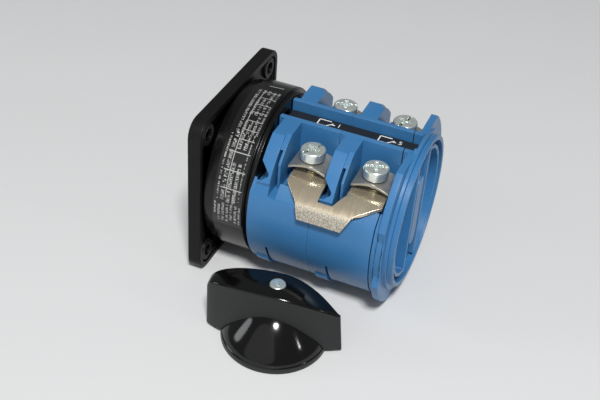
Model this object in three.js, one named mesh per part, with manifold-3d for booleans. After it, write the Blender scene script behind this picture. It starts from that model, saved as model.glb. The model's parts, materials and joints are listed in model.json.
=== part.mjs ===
// Manual transfer switch: a rotary cam switch with a square mounting plate, a
// latch housing, two contact decks, an end plate and a loose bar handle.
// The shaft axis lies along X, from the mounting plate (x = 0) to the end plate.
// Y runs away from the handle and Z is up. All lengths are in millimetres.

import * as THREE from 'three';
import { mergeVertices } from 'three/addons/utils/BufferGeometryUtils.js';
import Module from 'manifold-3d';

const wasm = await Module();
wasm.setup();

// ---- driving dimensions ----
const GAP = 0.3;               // clearance left between touching pieces
const PLATE = { side: 64, thick: 5, corner: 6, rim: 2.2, floor: 3.6, bossAt: 25.4, bossR: 4.2, holeR: 2.2 };
const DIAL = { r: 24, recess: 1.2, thick: 0.8 };
const HOUSING = { x0: 3.9, x1: 22.4, r: 31.3, neckR: 29.6, cavityR: 12.8, cavityX: 8.5 };
const LABEL = { x0: 9.8, x1: 20.4, r0: 31.6, r1: 31.9, from: 86, to: 190 };
const DECK = { x0: 22.7, pitch: 22.6, length: 22.3, r: 32.2, flat: 28.1, finR: 33 };
const CHANNEL = { half: 5, wall: 7, floor: 23.5 };
const POCKET = { floor: 11, start: 8.4, pedestal: 15.3 };
const TERMINAL = { x: 16.4, y: 15.6, plateZ: 15.6, plateT: 1.2, headR: 4.6, headZ: 21.4, headH: 3.7 };
const CHAMBER = { half: 5.4, x0: 11.9, top: 22.2, camR: 9.7 };
const CAM = { mid: 7, rise: 1.2, swing: 60, x0: 12.6, x1: 19.6 };
const SHAFT = { side: 6, x0: -10, x1: 69.3, boreR: 4.7 };
const TIE = { y: 20, r: 1.9, boreR: 2.2, headR: 3.2 };
const END = { x0: 67.9, face: 72, top: 75, r: 32.2, earR: 34.3, base: 32, ringR: 27.85, ringT: 1.6 };
const KNOB = { x: 42.2, y: -48.5, turn: 7, skirtR: 17.8, band: 2.6, dome: 9.2, half: 23.5, width: 7.2,
  tip: 1.5, crown: 22.4, shoulder: 15.5, under: 1.4 };
const TABLE = -PLATE.side / 2;

// ---- colours ----
const BLUE = { color: 0x2f6cab, roughness: 0.42, metalness: 0 };
const BLACK = { color: 0x17181a, roughness: 0.4, metalness: 0 };
const GLOSS = { color: 0x0e0f11, roughness: 0.18, metalness: 0 };
const ZINC = { color: 0xc2c6c4, roughness: 0.28, metalness: 1 };
const NICKEL = { color: 0xa39782, roughness: 0.35, metalness: 1 };
const BRASS = { color: 0xb5893f, roughness: 0.35, metalness: 1 };
const IVORY = { color: 0xd9d5c4, roughness: 0.5, metalness: 0 };
const STEEL = { color: 0x8f9396, roughness: 0.35, metalness: 1 };

// ---- shape helpers ----
const rad = (deg) => deg * Math.PI / 180;
const polar = (r, deg) => [r * Math.cos(rad(deg)), r * Math.sin(rad(deg))];
const arc = (r, from, to, steps) => Array.from({ length: steps + 1 },
  (_, i) => polar(r, from + (to - from) * i / steps));
const basis = (a, b, c) => new THREE.Matrix4().makeBasis(new THREE.Vector3(...a), new THREE.Vector3(...b),
  new THREE.Vector3(...c));
const ALONG_X = basis([0, 1, 0], [0, 0, 1], [1, 0, 0]);     // drawn in (y, z), pushed along x
const ALONG_Y = basis([1, 0, 0], [0, 0, 1], [0, -1, 0]);    // drawn in (x, z), pushed along -y
const SPUN_X = basis([0, 1, 0], [1, 0, 0], [0, 0, -1]);     // turned about x
const SPUN_Z = basis([1, 0, 0], [0, 0, 1], [0, -1, 0]);     // turned about z

function outline(points, holes = []) {
  const shape = new THREE.Shape(points.map(([a, b]) => new THREE.Vector2(a, b)));
  for (const hole of holes) shape.holes.push(new THREE.Path(hole.map(([a, b]) => new THREE.Vector2(a, b))));
  return shape;
}

const ring = (r, steps = 48, a = 0, b = 0) => arc(r, 0, 360 * (steps - 1) / steps, steps - 1)
  .map(([u, v]) => [u + a, v + b]);

const rectangle = (a0, a1, b0, b1) => [[a0, b0], [a1, b0], [a1, b1], [a0, b1]];

function roundedRectangle(halfA, halfB, r, steps = 5) {
  const corner = (a, b, from) => arc(r, from, from + 90, steps).map(([u, v]) => [u + a, v + b]);
  return [...corner(halfA - r, halfB - r, 0), ...corner(r - halfA, halfB - r, 90),
    ...corner(r - halfA, r - halfB, 180), ...corner(halfA - r, r - halfB, 270)];
}

function extrude(points, depth, matrix, shift, holes) {
  const geometry = new THREE.ExtrudeGeometry(outline(points, holes), { depth, bevelEnabled: false });
  if (matrix) geometry.applyMatrix4(matrix);
  return geometry.translate(...shift);
}

const prismX = (points, x0, x1, holes) => extrude(points, x1 - x0, ALONG_X, [x0, 0, 0], holes);
const prismY = (points, y0, y1, holes) => extrude(points, y1 - y0, ALONG_Y, [0, y1, 0], holes);
const prismZ = (points, z0, z1, holes) => extrude(points, z1 - z0, null, [0, 0, z0], holes);
const box = (x0, x1, y0, y1, z0, z1) => new THREE.BoxGeometry(x1 - x0, y1 - y0, z1 - z0)
  .translate((x0 + x1) / 2, (y0 + y1) / 2, (z0 + z1) / 2);

function spin(profile, matrix, steps = 48) {
  const points = profile.map(([r, h]) => new THREE.Vector2(r, h));
  return new THREE.LatheGeometry(points, steps).applyMatrix4(matrix);
}

// Welds a geometry's corners and drops the flat slivers left on its axis.
function weld(geometry) {
  const bare = geometry.clone();
  bare.deleteAttribute('normal');
  bare.deleteAttribute('uv');
  const merged = mergeVertices(bare, 1e-4);
  const index = merged.index.array;
  const kept = [];
  for (let i = 0; i < index.length; i += 3) {
    const [a, b, c] = [index[i], index[i + 1], index[i + 2]];
    if (a !== b && b !== c && c !== a) kept.push(a, b, c);
  }
  merged.setIndex(kept);
  return merged;
}

function solid(geometry) {
  if (!(geometry instanceof THREE.BufferGeometry)) return geometry;
  const merged = weld(geometry);
  return new wasm.Manifold(new wasm.Mesh({
    numProp: 3,
    vertProperties: new Float32Array(merged.attributes.position.array),
    triVerts: new Uint32Array(merged.index.array),
  }));
}

const join = (first, ...rest) => rest.reduce((sum, g) => sum.add(solid(g)), solid(first));
const cut = (first, ...rest) => rest.reduce((sum, g) => sum.subtract(solid(g)), solid(first));
const common = (first, ...rest) => rest.reduce((sum, g) => sum.intersect(solid(g)), solid(first));

function surface(shape) {
  if (shape instanceof THREE.BufferGeometry) {
    const plain = weld(shape).toNonIndexed();
    plain.computeVertexNormals();
    return plain;
  }
  const mesh = shape.getMesh();
  const geometry = new THREE.BufferGeometry();
  geometry.setAttribute('position', new THREE.BufferAttribute(new Float32Array(mesh.vertProperties), 3));
  geometry.setIndex(new THREE.BufferAttribute(new Uint32Array(mesh.triVerts), 1));
  const plain = geometry.toNonIndexed();
  plain.computeVertexNormals();
  return plain;
}

const root = new THREE.Group();
root.name = 'manual_transfer_switch';
const body = new THREE.Group();
root.add(body);

function place(name, shape, look, { position = [0, 0, 0], rotation = [0, 0, 0], parent = body } = {}) {
  const mesh = new THREE.Mesh(shape.isBufferGeometry ? shape : surface(shape), new THREE.MeshStandardMaterial(look));
  mesh.name = name;
  mesh.position.set(...position);
  mesh.rotation.set(...rotation);
  parent.add(mesh);
  return mesh;
}

// ---- mounting plate and dial ----
const half = PLATE.side / 2;
const corners = [[1, 1], [-1, 1], [-1, -1], [1, -1]];
let plate = prismX(roundedRectangle(half, half, PLATE.corner), 0, PLATE.thick);
const hollow = roundedRectangle(half - PLATE.rim, half - PLATE.rim, PLATE.corner - PLATE.rim);
plate = cut(plate, prismX(hollow, PLATE.floor, PLATE.thick + 1),
  prismX(ring(DIAL.r + GAP, 36), -1, DIAL.recess), prismX(ring(SHAFT.boreR, 16), -1, PLATE.thick));
for (const [a, b] of corners) {
  const [y, z] = [a * PLATE.bossAt, b * PLATE.bossAt];
  const rib = (across) => (across
    ? box(PLATE.floor - 0.2, 4.3, y - 0.6, y + 0.6, Math.min(z, b * 30.2), Math.max(z, b * 30.2))
    : box(PLATE.floor - 0.2, 4.3, Math.min(y, a * 30.2), Math.max(y, a * 30.2), z - 0.6, z + 0.6));
  plate = join(plate, prismX(ring(PLATE.bossR, 16, y, z), PLATE.floor - 0.2, 4.7), rib(true), rib(false));
  plate = cut(plate, prismX(ring(PLATE.holeR, 12, y, z), -1, PLATE.thick));
}
for (const side of [-1, 1]) {
  plate = cut(plate, prismX(ring(TIE.headR + GAP, 14, side * TIE.y, 0), 0.5, 2.8),
    prismX(ring(TIE.boreR, 10, side * TIE.y, 0), 0, PLATE.thick));
}
place('front_plate', plate, BLACK);
place('dial_plate', prismX(ring(DIAL.r, 36), 0.2, 0.2 + DIAL.thick, [ring(7, 16).reverse()]), IVORY);

// ---- latch housing, its label and the index mechanism ----
let housing = spin([[0, HOUSING.x0], [24, HOUSING.x0], [24, 5.3], [30.4, 5.3], [30.4, 9.2], [HOUSING.r, 9.2],
  [HOUSING.r, 20.9], [HOUSING.neckR, 20.9], [HOUSING.neckR, HOUSING.x1], [0, HOUSING.x1]], SPUN_X, 48);
housing = cut(housing, prismX(ring(HOUSING.cavityR, 28), HOUSING.cavityX, HOUSING.x1 + 1),
  prismX(roundedRectangle(3.2, 25.5, 0.6, 2), HOUSING.cavityX, HOUSING.x1 + 1),
  prismX(ring(SHAFT.boreR, 16), 0, 20));
for (const side of [-1, 1]) housing = cut(housing, prismX(ring(TIE.boreR, 10, side * TIE.y, 0), 0, 30));
place('latch_housing', housing, BLACK);

const band = [...arc(LABEL.r1, LABEL.from, LABEL.to, 20), ...arc(LABEL.r0, LABEL.to, LABEL.from, 20)];
place('rating_label', prismX(band, LABEL.x0, LABEL.x1), GLOSS);

const squareHole = () => rectangle(-SHAFT.side / 2 - GAP, SHAFT.side / 2 + GAP, -SHAFT.side / 2 - GAP,
  SHAFT.side / 2 + GAP).reverse();
const INDEX = { tip: 11, dip: 1, x0: 10.3, x1: 17.3, rollerR: 2.2 };
const star = Array.from({ length: 48 }, (_, i) => polar(
  INDEX.tip - INDEX.dip * (0.5 + 0.5 * Math.cos(rad(i * 7.5 * 6))), 90 + i * 7.5));
place('index_wheel', prismX(star, INDEX.x0, INDEX.x1, [squareHole()]), IVORY);
const rollerZ = INDEX.tip + INDEX.rollerR + 0.35;
const coil = Array.from({ length: 7 }, (_, i) => [i % 2 ? 2.6 : 1.9, i * 1.3]);
const bellows = spin([...coil, ...coil.slice().reverse().map(([r, h]) => [r - 0.4, h]), coil[0]], SPUN_Z, 12);
for (const [tag, side] of [['top', 1], ['bottom', -1]]) {
  place(`index_roller_${tag}`, prismX(ring(INDEX.rollerR, 16), INDEX.x0, INDEX.x1), STEEL,
    { position: [0, 0, side * rollerZ] });
  place(`index_spring_${tag}`, weld(bellows), STEEL,
    { position: [13.8, 0, side * (rollerZ + 2.6)], rotation: [side > 0 ? 0 : Math.PI, 0, 0] });
}

// ---- drive shaft, cams and tie screws ----
const s = SHAFT.side / 2;
place('drive_shaft', cut(prismX(rectangle(-s, s, -s, s), SHAFT.x0, SHAFT.x1),
  prismX(ring(1.4, 12), SHAFT.x0 - 1, SHAFT.x0 + 8)), STEEL);

// Follower distance changes in step with the turn over each working flank.
function camRadius(angle) {
  const a = ((angle % 180) + 180) % 180;
  const t = (a - 30) / 120;
  if (t >= 0 && t <= 1) return CAM.mid + CAM.rise * (1 - 2 * t);
  const u = (a > 150 ? a - 150 : a + 30) / 60;
  return CAM.mid - CAM.rise * Math.cos(Math.PI * u);
}
const camOutline = (flip) => Array.from({ length: 60 }, (_, i) => polar(camRadius(flip * (i * 6 - 90) + 90), i * 6));

for (const side of [-1, 1]) {
  const bolt = spin([[0, 1.5], [TIE.headR - 0.5, 1.5], [TIE.headR, 2], [TIE.headR, 2.5], [TIE.r, 2.5], [TIE.r, 70],
    [0, 70]], SPUN_X, 12);
  place(`tie_screw_${side < 0 ? 'near' : 'far'}`, cut(bolt, box(1, 1.9, -2.6, 2.6, -0.35, 0.35)), ZINC,
    { position: [0, side * TIE.y, 0] });
}

// ---- contact decks ----
const mirrored = (points, a, b) => {
  const moved = points.map(([y, z]) => [a * y, b * z]);
  return a * b < 0 ? moved.reverse() : moved;
};
const upperPocket = [[CHANNEL.wall, POCKET.floor], [26.2, POCKET.floor], [26.2, 14.9], [31.5, 10.05], [40, 10.05],
  [40, 40], [CHANNEL.wall, 40]];
const lowerPocket = [[CHANNEL.wall, -40], [36, -40], polar(36, -44), ...arc(30, -44, -21.5, 6),
  [CHANNEL.wall, -POCKET.floor]];
const finOutline = (top) => {
  const edge = Math.asin(DECK.flat / DECK.finR) * 180 / Math.PI;
  const from = top ? 28 : 36;
  return [[CHANNEL.wall - 0.5, POCKET.floor - 1], polar(30.5, from - 6), polar(DECK.finR, from),
    ...arc(DECK.finR, from + 4, edge, 6), [CHANNEL.wall - 0.5, DECK.flat]];
};

// Bar seen square to a deck corner, pushed through it along the corner's radius.
// Its second coordinate rises up the wall on either side of the deck.
function throughCorner(points, side, angle) {
  const [y, z] = polar(1, angle);
  const seen = side > 0 ? points.map(([x, t]) => [x, -t]).reverse() : points;
  const geometry = new THREE.ExtrudeGeometry(outline(seen), { depth: 14, bevelEnabled: false });
  return geometry.translate(0, 0, 26).applyMatrix4(basis([1, 0, 0], [0, z, -y], [0, y, z]));
}

function deckHousing() {
  let deck = common(prismX(ring(DECK.r, 64), 0, DECK.length), box(-1, 30, -40, 40, -DECK.flat, DECK.flat));
  for (const a of [-1, 1]) {
    for (const [x0, x1] of [[-1, 2], [POCKET.start, 30]]) {
      deck = cut(deck, prismX(mirrored(upperPocket, a, 1), x0, x1), prismX(mirrored(lowerPocket, a, 1), x0, x1));
    }
    for (const b of [-1, 1]) {
      deck = join(deck, prismX(mirrored(finOutline(b > 0), a, b), 2, 6.6));
      const slot = [[CHANNEL.wall, POCKET.floor], [40, POCKET.floor], [40, 24.5], [16, 24.5], [16, 26.4],
        [CHANNEL.wall, 26.4]];
      deck = cut(deck, prismX(mirrored(slot, a, b), 6.6, 7.5));
      const lip = [[24.5, POCKET.floor], [40, 10.05], [40, 40], [24.5, 40]];
      if (b > 0) deck = cut(deck, prismX(mirrored(lip, a, b), 7, POCKET.start + 1));
      const pedestal = [[CHANNEL.wall - 0.5, POCKET.floor - 1], [21, POCKET.floor - 1], [21, POCKET.pedestal],
        [CHANNEL.wall - 0.5, POCKET.pedestal]];
      deck = join(deck, prismX(mirrored(pedestal, a, b), 10.2, DECK.length));
    }
    const notch = [[1, 5.4], [2, 4.4], [5.4, 0.4], [5.4, -0.6], [3.4, -2.3], [1, -2.6]];
    deck = cut(deck, throughCorner(notch, a, a > 0 ? 33 : 147));
  }
  deck = cut(deck,
    box(-1, 30, -CHANNEL.half, CHANNEL.half, CHANNEL.floor, 40),
    box(-1, 30, -CHANNEL.half, CHANNEL.half, -40, -CHANNEL.floor),
    prismX(ring(CHAMBER.camR, 24), 8, 30),
    box(CHAMBER.x0, 30, -CHAMBER.half, CHAMBER.half, -CHAMBER.top, CHAMBER.top),
    prismX(ring(SHAFT.boreR, 16), -1, 9));
  for (const a of [-1, 1]) {
    deck = cut(deck, prismX(ring(TIE.boreR, 10, a * TIE.y, 0), -1, 30));
    for (const b of [-1, 1]) {
      const [z0, z1] = [TERMINAL.plateZ - GAP, TERMINAL.plateZ + TERMINAL.plateT + GAP];
      deck = cut(deck,
        box(TERMINAL.x - 3.8, TERMINAL.x + 3.8, Math.min(a * 5, a * 7.5), Math.max(a * 5, a * 7.5),
          Math.min(b * z0, b * z1), Math.max(b * z0, b * z1)),
        prismZ(ring(2.5, 12, TERMINAL.x, a * TERMINAL.y), b > 0 ? 11.6 : -15.5, b > 0 ? 15.5 : -11.6));
    }
  }
  return deck;
}

const deckShape = surface(deckHousing());
for (const k of [0, 1]) {
  place(`deck_housing_${k + 1}`, deckShape.clone(), BLUE, { position: [DECK.x0 + k * DECK.pitch, 0, 0] });
  place(`cam_${k + 1}`, prismX(camOutline(k ? -1 : 1), CAM.x0, CAM.x1, [squareHole()]), BRASS,
    { position: [DECK.x0 + k * DECK.pitch, 0, 0] });
}

// ---- what sits in each deck's four terminals ----
const contactShape = (() => {
  const { y, plateT } = TERMINAL;
  const plan = [[-3.4, 2.5], [3.4, 2.5], [3.4, 8], [5, 9], [5, 21], [-5, 21], [-5, 9], [-3.4, 8]];
  return join(prismZ(plan, 0, plateT, [ring(2.3, 12, 0, y).reverse()]),
    prismZ(ring(1.2, 10, 0, 3.8), -GAP, 0.1));
})();
const clampShape = (() => {
  const crown = (z) => Array.from({ length: 9 }, (_, i) => [-6.7 + i * 6.7 / 4, z + 1.7 * Math.cos((i - 4) / 8 * Math.PI)]);
  const profile = [...crown(0).reverse(), ...crown(-0.9)];
  return cut(prismY(profile.reverse(), -5.4, 5.4), prismZ(ring(2.4, 12), -3, 4));
})();
const screwShape = (() => {
  const h = TERMINAL.headH;
  const turned = spin([[0, -9.2], [1.4, -9.2], [2, -8.4], [2, 0], [TERMINAL.headR, 0], [TERMINAL.headR, h - 0.8],
    [TERMINAL.headR - 0.9, h], [0, h]], SPUN_Z, 20);
  return cut(turned, box(-4.9, 4.9, -0.5, 0.5, h - 1.3, h + 1), box(-0.5, 0.5, -2.7, 2.7, h - 2, h + 1));
})();
const [contact, clamp, screw] = [contactShape, clampShape, screwShape].map(surface);

const terminals = [['near_top', -1, 1], ['far_top', 1, 1], ['near_bottom', -1, -1], ['far_bottom', 1, -1]];
for (const k of [0, 1]) {
  for (const [tag, a, b] of terminals) {
    const x = DECK.x0 + k * DECK.pitch + TERMINAL.x;
    const tipped = b > 0 ? 0 : Math.PI;
    const turned = a * b > 0 ? 0 : Math.PI;
    place(`contact_${k + 1}_${tag}`, contact.clone(), BRASS,
      { position: [x, 0, b * TERMINAL.plateZ], rotation: [tipped, 0, turned] });
    const at = [x, a * TERMINAL.y];
    place(`clamp_${k + 1}_${tag}`, clamp.clone(), NICKEL,
      { position: [...at, b * (TERMINAL.headZ - GAP - 1.7)], rotation: [tipped, 0, 0] });
    place(`screw_${k + 1}_${tag}`, screw.clone(), ZINC,
      { position: [...at, b * TERMINAL.headZ], rotation: [tipped, 0, rad(12 + 38 * k)] });
  }
}

// ---- jumper link between the near top terminals of the two decks ----
const linkX = [DECK.x0 + TERMINAL.x, DECK.x0 + DECK.pitch + TERMINAL.x];
const linkSide = [[-9.9, 17.1], [-24, 17.1], [-30.7, 13.3], [-32.5, 8.4], [-33.7, 8.7], [-31.8, 14.1], [-24.3, 18.3],
  [-9.9, 18.3]].reverse();
const linkPlan = [[linkX[0] - 5.4, -9.8], [linkX[0] + 5.2, -9.8], [linkX[0] + 5.2, -22.5], [linkX[0] + 8.4, -29.7],
  [linkX[0] + 14.6, -29.7], [linkX[1] - 5.2, -22.5], [linkX[1] - 5.2, -9.8], [linkX[1] + 5.8, -9.8],
  [linkX[1] + 6.1, -25.5], [linkX[1] - 1.5, -31.4], [linkX[1] - 5.2, -40], [linkX[0] + 3.4, -40],
  [linkX[0] + 0.6, -31.4], [linkX[0] - 4.4, -25.5]].reverse();
let link = common(prismX(linkSide, 30, 70), prismZ(linkPlan, 0, 25));
for (const x of linkX) link = cut(link, prismZ(ring(2.4, 12, x, -TERMINAL.y), 10, 25));
place('jumper_link', link, NICKEL);

// ---- moving contacts ----
const carrierShape = (() => {
  const blade = [[-1.7, 7.9], [-0.8, 7.35], [0.8, 7.35], [1.7, 7.9], [1.7, 20.5], [-1.7, 20.5]];
  return cut(prismX(blade, 12.2, 21.9), box(13.1, 19.7, -3, 3, 8.9, 13.6));
})();
const bridgeShape = join(box(13.4, 19.4, -5, 5, 12.3, 13.3), prismZ(ring(1.2, 10, TERMINAL.x, 3.8), 13.2, 13.8),
  prismZ(ring(1.2, 10, TERMINAL.x, -3.8), 13.2, 13.8));
const bow = (z) => Array.from({ length: 9 }, (_, i) => [13.5 + i * 5.8 / 8, z + 2.1 * Math.sin(i / 8 * Math.PI)]);
const springShape = prismY([...bow(9.2), ...bow(9.6).reverse()], -1.4, 1.4);
const [carrier, bridge] = [carrierShape, bridgeShape].map(surface);
for (const k of [0, 1]) {
  for (const [tag, b] of [['top', 1], ['bottom', -1]]) {
    const where = { position: [DECK.x0 + k * DECK.pitch, 0, 0], rotation: [b > 0 ? 0 : Math.PI, 0, 0] };
    place(`carrier_${k + 1}_${tag}`, carrier.clone(), IVORY, where);
    place(`bridge_${k + 1}_${tag}`, bridge.clone(), BRASS, where);
    place(`contact_spring_${k + 1}_${tag}`, weld(springShape), STEEL, where);
  }
}

// ---- marking strips ----
for (const [tag, b] of [['top', 1], ['bottom', -1]]) {
  place(`marking_strip_${tag}`, box(23.2, 71.4, -4.7, 4.7, CHANNEL.floor + GAP, CHANNEL.floor + 0.8), BLACK,
    { rotation: [b > 0 ? 0 : Math.PI, 0, 0] });
}

// ---- end plate ----
function endPlate() {
  const ear = (r, from, to) => arc(r, from, to, 8);
  const wing = [...ear(END.r, -14, 14), ...ear(END.earR, 20, 55), [9, 28.1], [-9, 28.1], ...ear(END.earR, 125, 160),
    ...ear(END.r, 166, 194), ...ear(END.earR, 200, 248), ...ear(END.earR, 292, 340)];
  let cap = common(prismX(wing, END.x0 + 1.6, END.face), box(60, 80, -40, 40, -END.base, END.base));
  cap = join(cap, common(prismX(ring(END.r, 64), END.x0, END.face - 0.5), box(60, 80, -40, 40, -DECK.flat, DECK.flat)));
  for (const a of [-1, 1]) {
    for (const pocket of [upperPocket, lowerPocket]) {
      cap = cut(cap, prismX(mirrored(pocket, a, 1), END.x0 - 1, END.x0 + 1.6));
    }
  }
  cap = join(cap, prismX(ring(29.6, 48), END.face - 1, END.face + 1.2), prismX(ring(END.ringR, 48), END.face, END.top));
  const inner = END.ringR - END.ringT;
  cap = cut(cap, prismX(ring(inner, 48), END.face + 0.4, END.top + 1));
  const moon = (r, edge, side) => {
    const from = Math.acos(edge / r) * 180 / Math.PI;
    const half = arc(r, -from, from, 10);
    return side > 0 ? half : half.map(([y, z]) => [-y, z]).reverse();
  };
  for (const side of [-1, 1]) {
    cap = join(cap, prismX(moon(24.6, 5.4, side), END.face, END.top - 0.7));
    cap = cut(cap, prismX(moon(23.1, 6.9, side), END.face - 1.5, END.top));
  }
  cap = join(cap, prismX(roundedRectangle(3.3, 14.5, 3, 4), END.face, END.top - 0.9));
  cap = cut(cap,
    box(END.x0 - 1, END.face - 0.2, -CHANNEL.half, CHANNEL.half, CHANNEL.floor, 40),
    box(END.x0 - 1, END.face - 0.2, -CHANNEL.half, CHANNEL.half, -40, -CHANNEL.floor),
    box(END.face - 2, END.top + 1, -3.4, 3.4, 17.5, 24.4), box(END.face - 2, END.top + 1, -3.4, 3.4, -24.4, -17.5),
    prismX(ring(SHAFT.boreR, 16), END.x0 - 1, SHAFT.x1 + 0.4));
  for (const a of [-1, 1]) cap = cut(cap, prismX(ring(TIE.boreR, 10, a * TIE.y, 0), END.x0 - 1, 70.3));
  return cap;
}
place('end_plate', endPlate(), BLUE);

// ---- handle, lying on its base in front of the switch ----
const knob = new THREE.Group();
knob.position.set(KNOB.x, KNOB.y, TABLE);
knob.rotation.set(0, 0, rad(KNOB.turn));
body.add(knob);

function handle() {
  const K = KNOB;
  const domeArc = Array.from({ length: 7 }, (_, i) => {
    const t = i / 6 * Math.PI / 2;
    return [(K.skirtR - 0.5) * Math.cos(t), K.band + 0.4 + (K.dome - K.band - 0.4) * Math.sin(t)];
  });
  domeArc[6][0] = 0;
  const skirt = spin([[0, 0], [K.skirtR - 0.3, 0], [K.skirtR, 0.4], [K.skirtR, K.band], ...domeArc], SPUN_Z, 40);
  const angles = Array.from({ length: 19 }, (_, i) => -Math.PI / 2 + i * Math.PI / 18);
  const edge = angles.map((t) => [K.half * Math.sin(t), K.tip + (K.width - K.tip) * Math.cos(t) ** 1.5]);
  const leaf = [...edge.slice().reverse(), ...edge.map(([x, y]) => [x, -y])];
  const crest = angles.map((t) => [K.half * 1.01 * Math.sin(t), K.shoulder + (K.crown - K.shoulder) * Math.cos(t) ** 0.9]);
  const side = [[-K.half - 1, K.under], [K.half + 1, K.under], [K.half + 1, K.shoulder - 0.5], ...crest.reverse(),
    [-K.half - 1, K.shoulder - 0.5]];
  const bar = common(prismZ(leaf, 0, 40), prismY(side, -12, 12));
  const s = SHAFT.side / 2 + GAP;
  return cut(join(skirt, bar),
    spin([[0, -1], [15.8, -1], [15.8, 1.8], [14, 2.6], [0, 2.6]], SPUN_Z, 28),
    box(-s, s, -s, s, -1, 14), prismZ(ring(1.9, 12), 10, 30), prismZ(ring(3.1, 16), 17.6, 30));
}
place('handle', handle(), GLOSS, { parent: knob });

const bolt = spin([[0, 6], [1.5, 6], [1.6, 6.6], [1.6, 17.9], [2.7, 17.9], [2.8, 18.3], [2.6, 20.2], [1.6, 20.9],
  [0, 21.1]], SPUN_Z, 14);
place('handle_screw', cut(bolt, box(-2, 2, -0.35, 0.35, 19.7, 22), box(-0.35, 0.35, -2, 2, 19.7, 22)), ZINC,
  { parent: knob, rotation: [0, 0, rad(30)] });

// ---- stand the whole part on z = 0, centred on the origin ----
body.updateMatrixWorld(true);
const bounds = new THREE.Box3().setFromObject(body, true);
body.position.set(-(bounds.min.x + bounds.max.x) / 2, -(bounds.min.y + bounds.max.y) / 2, -bounds.min.z);
root.updateMatrixWorld(true);

export default root;
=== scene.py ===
# %% [markdown]
# # A rotary transfer switch and its loose handle
# The switch is a stack on one shaft: a black mounting plate, a black latch housing with a printed
# label, two blue contact decks with screw terminals, and a blue end plate. A bar handle lies in
# front of it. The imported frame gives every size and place, and this file adds the looks.

# %% Load the frame
import json
import math

import bmesh
import bpy
import numpy as np
from mathutils import Matrix, Vector


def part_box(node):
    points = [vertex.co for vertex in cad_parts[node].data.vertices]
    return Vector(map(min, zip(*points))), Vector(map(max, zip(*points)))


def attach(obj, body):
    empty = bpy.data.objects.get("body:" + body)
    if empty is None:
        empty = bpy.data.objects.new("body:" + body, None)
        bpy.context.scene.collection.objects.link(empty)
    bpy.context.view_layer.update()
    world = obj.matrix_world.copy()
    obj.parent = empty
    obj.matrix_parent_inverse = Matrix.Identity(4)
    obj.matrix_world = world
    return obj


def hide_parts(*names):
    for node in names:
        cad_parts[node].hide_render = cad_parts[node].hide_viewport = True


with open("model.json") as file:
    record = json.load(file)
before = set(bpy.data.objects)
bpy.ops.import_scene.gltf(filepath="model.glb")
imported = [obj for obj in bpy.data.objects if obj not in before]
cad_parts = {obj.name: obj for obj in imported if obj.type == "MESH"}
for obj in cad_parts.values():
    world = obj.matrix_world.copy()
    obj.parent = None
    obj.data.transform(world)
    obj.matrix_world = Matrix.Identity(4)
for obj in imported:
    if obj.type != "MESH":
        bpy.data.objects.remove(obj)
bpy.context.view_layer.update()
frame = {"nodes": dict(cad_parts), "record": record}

# %% [markdown]
# ## Where the switch lies
# All its round pieces share the shaft's line, so shapes are easiest to write in millimetres from the
# point where that line meets the front of the mounting plate: x along the shaft, y away from the
# handle, z up. One function moves such points into the frame.

# %% The shaft's own millimetres
plate_low, plate_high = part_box("front_plate")
AXIS = np.array([plate_low.x, (plate_low.y + plate_high.y) / 2, (plate_low.z + plate_high.z) / 2])


def on_switch(points):
    """Point in the frame = AXIS + point in shaft millimetres / 1000."""
    return AXIS + np.asarray(points, float) / 1000


print("shaft line in the frame:", AXIS.round(4))

# %% [markdown]
# ## The camera
# It stands in front of the handle's side, looking down by about 37 degrees, a little rolled, with a
# lens near 61 mm, so the end plate's face is seen at a grazing angle.

# %% Camera
AZIMUTH, ELEVATION, ROLL = (math.radians(a) for a in (19.974, 37.507, 4.512))
CAMERA_AT = (132.15, -280.88, 218.55)

back = Vector((math.cos(ELEVATION) * math.sin(AZIMUTH), -math.cos(ELEVATION) * math.cos(AZIMUTH),
               math.sin(ELEVATION)))
level = Vector((math.cos(AZIMUTH), math.sin(AZIMUTH), 0))
right = math.cos(ROLL) * level + math.sin(ROLL) * back.cross(level)
camera_data = bpy.data.cameras.new("camera")
camera_data.lens, camera_data.sensor_width = 60.76, 36
camera_data.clip_start, camera_data.clip_end = 0.01, 20
camera = bpy.data.objects.new("camera", camera_data)
turn = Matrix((right, back.cross(right), back)).transposed().to_4x4()
camera.matrix_world = Matrix.Translation(on_switch(CAMERA_AT)) @ turn
bpy.context.scene.collection.objects.link(camera)
bpy.context.scene.camera = camera
print("camera at", [round(v, 3) for v in camera.location])

# %% [markdown]
# ## Table and light
# The switch lies on plain pale card. The key is a fairly small lamp high on the camera's side, so
# shadows fall close behind the piece. A broad window behind the camera and one on the left fill in.
# The room is left dim, because the gloss black has to mirror something dark to stay black.

# %% Lamps
def lamp(name, at, aim, size, watts, tint=(1, 1, 1)):
    """Round area lamp: stands at `at`, faces `aim`; both in metres."""
    data = bpy.data.lights.new(name, "AREA")
    data.shape, data.size, data.energy, data.color = "DISK", size, watts, tint
    light = bpy.data.objects.new(name, data)
    light.location = at
    light.rotation_euler = (Vector(aim) - Vector(at)).to_track_quat("-Z", "Y").to_euler()
    bpy.context.scene.collection.objects.link(light)


lamp("key", (0.30, -0.62, 1.12), (0, 0, 0), 0.24, 18)
lamp("front_window", (-0.3, -1.9, 1.0), (0, 0, 0), 2.4, 6, (0.97, 0.985, 1))
lamp("left_window", (-1.4, -0.5, 0.6), (0, 0, 0), 0.5, 2.5, (0.95, 0.98, 1))
lamp("spark", (1.1, -0.13, 0.62), (0.02, 0, 0.03), 0.07, 0.4)

world = bpy.data.worlds.new("room")
world.use_nodes = True
world.node_tree.nodes["Background"].inputs[0].default_value = (0.95, 0.97, 1, 1)
world.node_tree.nodes["Background"].inputs[1].default_value = 0.2
bpy.context.scene.world = world
bpy.context.scene.view_settings.view_transform = "Standard"

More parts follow.
